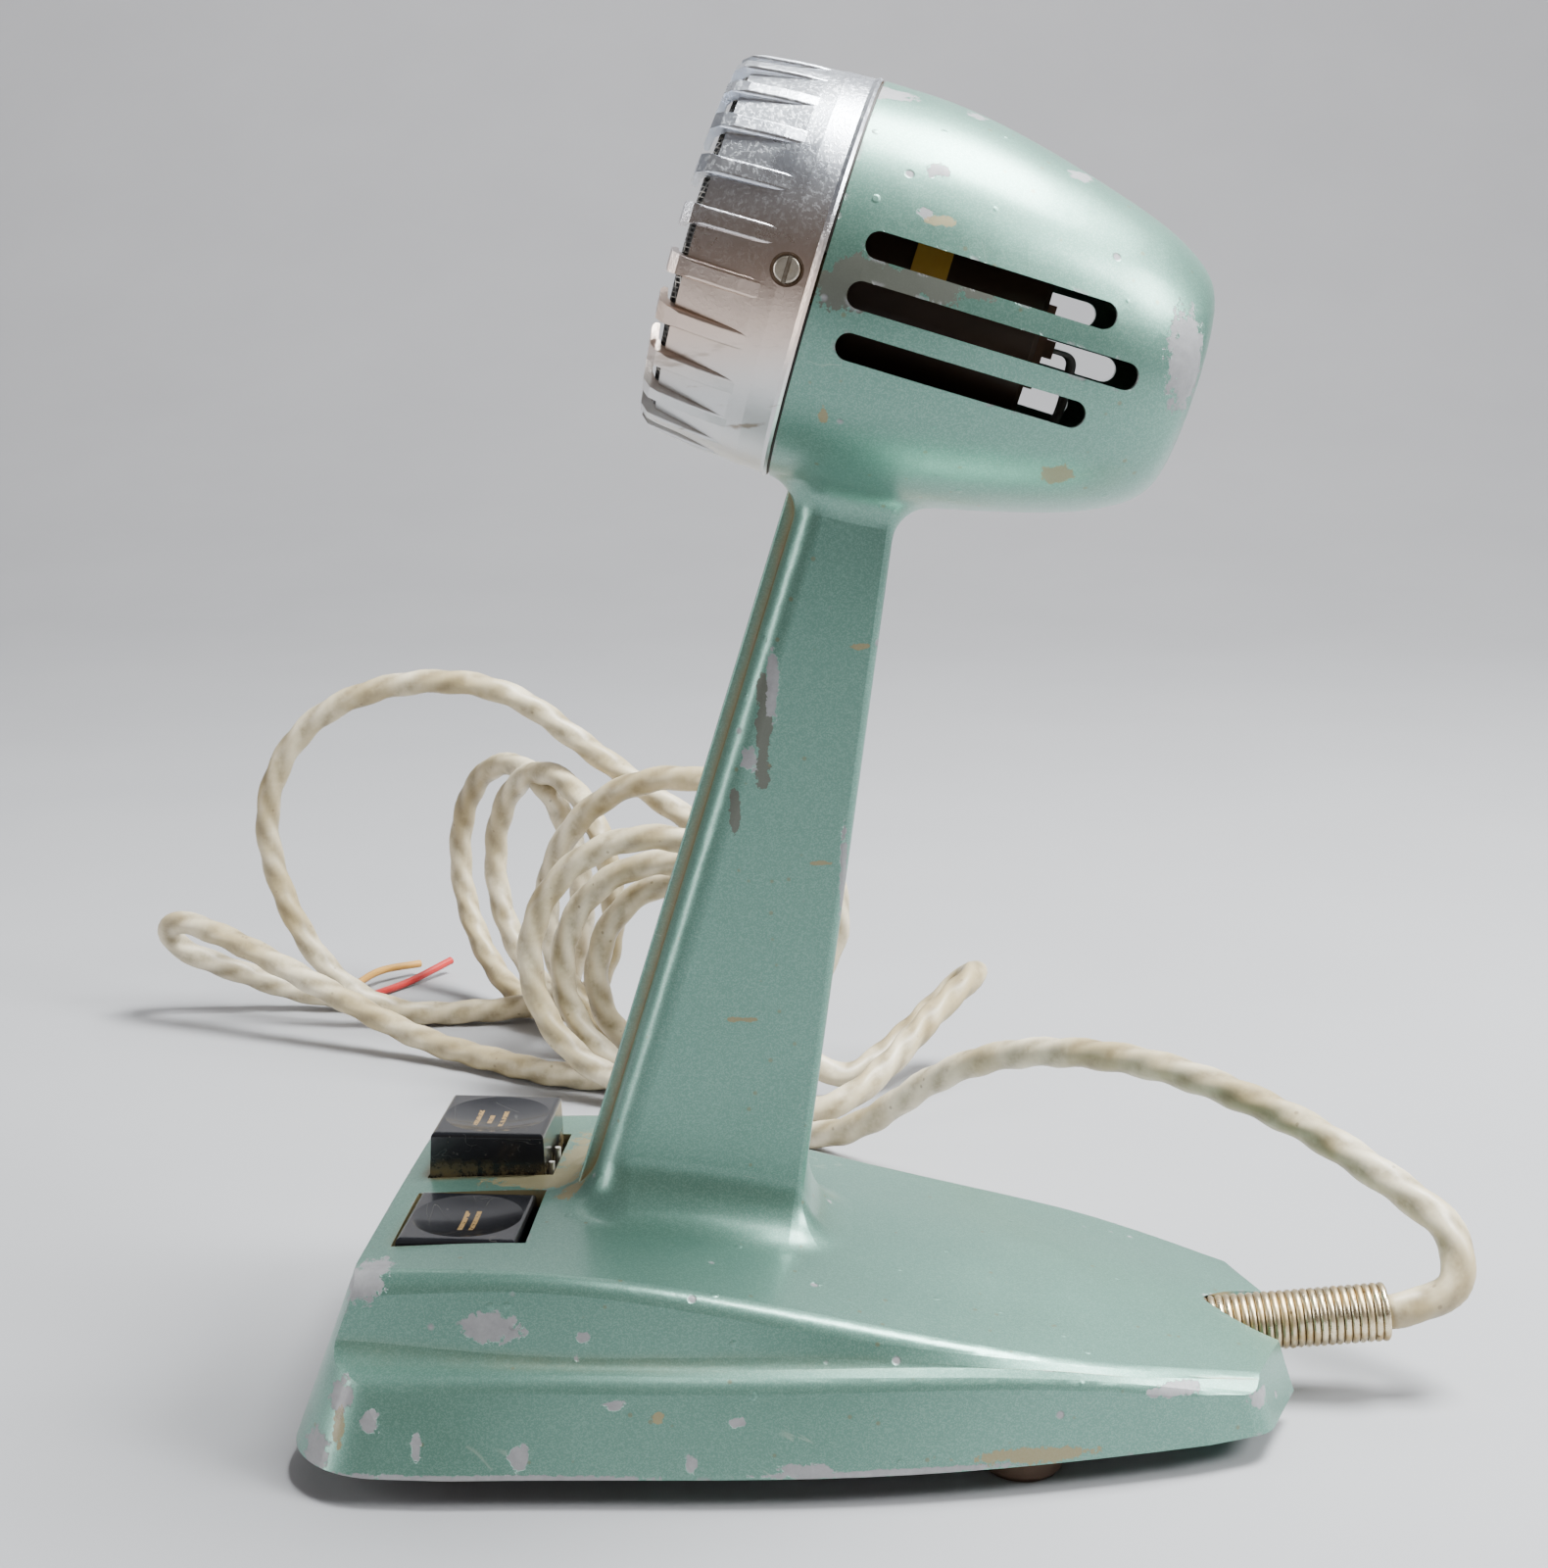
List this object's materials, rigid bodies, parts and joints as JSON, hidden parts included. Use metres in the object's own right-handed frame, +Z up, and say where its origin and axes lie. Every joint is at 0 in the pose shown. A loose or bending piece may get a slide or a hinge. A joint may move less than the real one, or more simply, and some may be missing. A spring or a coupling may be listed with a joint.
{
  "type": "desk microphone",
  "caption": "Push-to-talk desk microphone: tapered die-cast stand with a ribbed grille head, raised and latched buttons, and a spring-relieved cable lying in loops.",
  "frame": {"origin": "on the table under the middle of the stand with its strain relief spring", "axes": "+Z up, -Y towards the talker (the grille and buttons), +Y towards the cable"},
  "size_m": [0.3202, 0.3151, 0.2366],
  "materials": {
    "enamel": "seafoam metallic enamel on a zinc casting, chipped and grimy at its edges",
    "chrome": "bright plating, finely pitted",
    "screw_steel": "plated slotted screws, tarnished",
    "mesh_wire": "woven wire cloth, blackened, worn bright on its crests",
    "seal_rubber": "black rubber",
    "felt": "black felt",
    "case_plastic": "dark brown moulding",
    "film": "thin formed film",
    "copper_wire": "enamelled copper wire",
    "soft_iron": "plated soft iron",
    "magnet_alloy": "cast magnet alloy",
    "amber_tape": "aged clear tape",
    "laminate": "brown paper laminate board",
    "plate_steel": "zinc plated sheet steel",
    "foot_rubber": "brown rubber",
    "button_plastic": "black moulding, gloss worn by fingers",
    "spring_steel": "drawn spring wire",
    "nylon": "natural white nylon",
    "contact_brass": "rolled brass strip",
    "nickel_wire": "nickel plated wire with rust between the turns",
    "cable_vinyl": "ivory vinyl jacket, yellowed and grimy",
    "lead_grey": "grey insulated leads",
    "lead_red": "red insulated lead",
    "lead_amber": "amber insulated lead"
  },
  "bodies": {
    "stand": {"base_leads": "lead_grey", "base_plate": "plate_steel", "base_screws": "screw_steel", "cable_arch": "cable_vinyl", "cable_big_loop": "cable_vinyl", "cable_bundle": "cable_vinyl", "cable_clamp": "plate_steel", "cable_fold": "cable_vinyl", "cable_inner": "cable_vinyl", "cable_low_loop": "cable_vinyl", "cartridge_case": "case_plastic", "cartridge_tape": "amber_tape", "cast_body": "enamel", "contact_stacks": "contact_brass", "diaphragm": "film", "feet": "foot_rubber", "grille_ring": "chrome", "guide_pins": "nylon", "head_leads": "lead_grey", "lead_amber": "lead_amber", "lead_red": "lead_red", "lever_pin": "spring_steel", "lock_spring": "spring_steel", "magnet": "magnet_alloy", "magnet_yoke": "soft_iron", "mesh_cup": "mesh_wire", "pole_piece": "soft_iron", "ring_gasket": "seal_rubber", "ring_screws": "screw_steel", "shock_ring": "seal_rubber", "stack_bracket": "plate_steel", "stem_leads": "lead_grey", "stem_strip": "enamel", "strain_spring": "nickel_wire", "switch_frame": "plate_steel", "talk_spring": "spring_steel", "terminal_board": "laminate", "transformer_core": "soft_iron", "transformer_winding": "copper_wire", "voice_coil": "copper_wire", "wind_felt": "felt"},
    "talk_key": {"talk_button": "button_plastic"},
    "lock_key": {"lock_button": "button_plastic"},
    "talk_arm": {"talk_lever": "contact_brass"},
    "lock_arm": {"lock_lever": "contact_brass"}
  },
  "joints": [
    {"name": "talk_press", "type": "slide", "parent": "stand", "child": "talk_key", "axis": [0, 0, 1], "range_m": [-0.008, 0], "stiffness_N_per_m": 300, "springref_m": 0.004, "deforming": ["talk_spring"]},
    {"name": "lock_press", "type": "slide", "parent": "stand", "child": "lock_key", "axis": [0, 0, 1], "range_m": [0, 0.008], "deforming": ["lock_spring"]},
    {"name": "talk_lever_turn", "type": "hinge", "parent": "stand", "child": "talk_arm", "pos_m": [-0.0199, -0.0425, 0.019], "axis": [1, 0, 0], "range_deg": [0, 24.8]},
    {"name": "lock_lever_turn", "type": "hinge", "parent": "stand", "child": "lock_arm", "pos_m": [0.0199, -0.0425, 0.019], "axis": [1, 0, 0], "range_deg": [-24.8, 0]}
  ],
  "couplings": [
    {"joint": "talk_lever_turn", "follows": "talk_press", "rad_per_m": -53.604},
    {"joint": "lock_lever_turn", "follows": "lock_press", "rad_per_m": -53.604}
  ]
}
